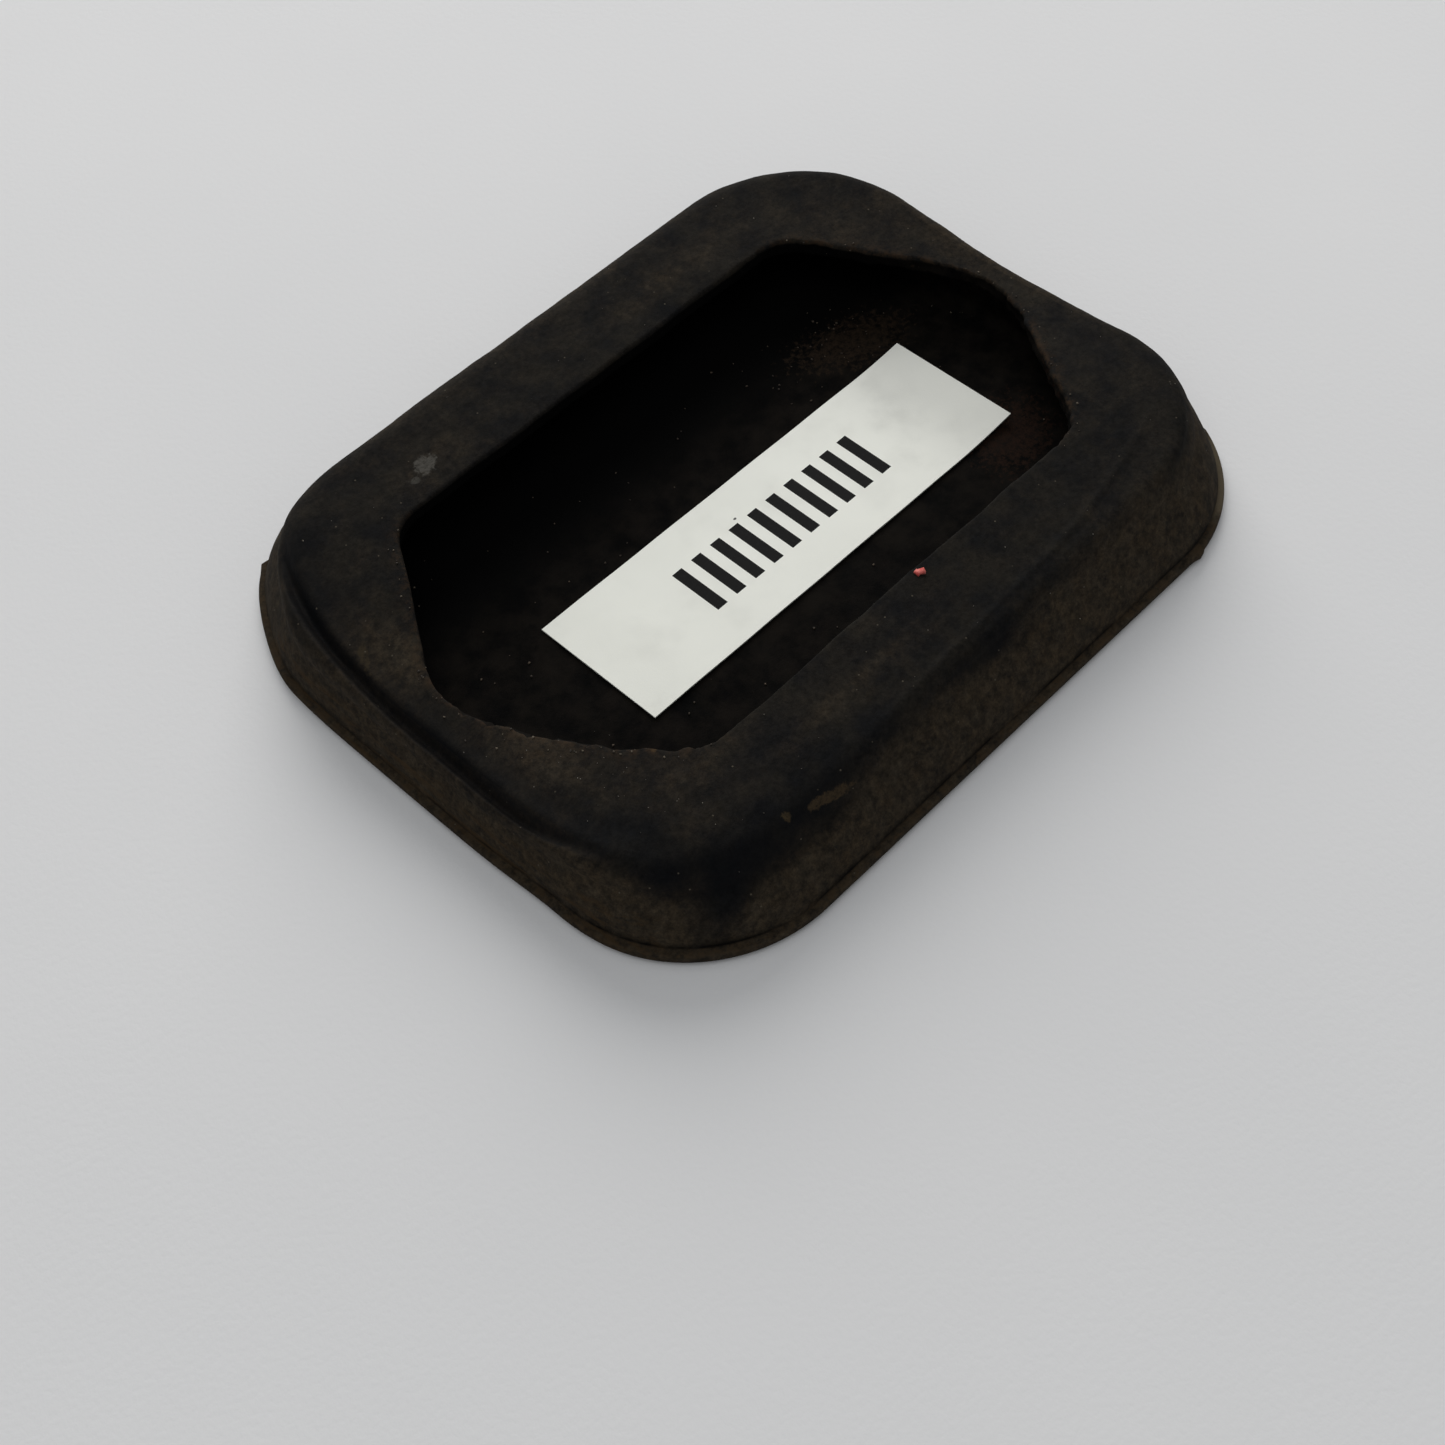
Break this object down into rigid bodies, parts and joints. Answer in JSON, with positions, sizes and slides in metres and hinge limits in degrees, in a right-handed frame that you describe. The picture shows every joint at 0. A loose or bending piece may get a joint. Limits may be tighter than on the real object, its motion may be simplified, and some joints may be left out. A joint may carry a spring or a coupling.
{
  "type": "pedal pad",
  "caption": "Moulded rubber pad for a foot pedal, seen from its pocket side: shallow tray, inturned lip, six-sided mouth, ribbed tread below and a label strip inside.",
  "frame": {"origin": "centre of the tread face, which is the bottom of the bounding box", "axes": "+X along the pad's longer side, +Z out of the pocket's mouth, away from the tread"},
  "size_m": [0.0678, 0.055, 0.0076],
  "materials": {
    "moulded_rubber": "satin",
    "label_tape": "satin"
  },
  "bodies": {
    "root": {"pedal_pad": "moulded_rubber", "stock_label": "label_tape"}
  },
  "joints": []
}
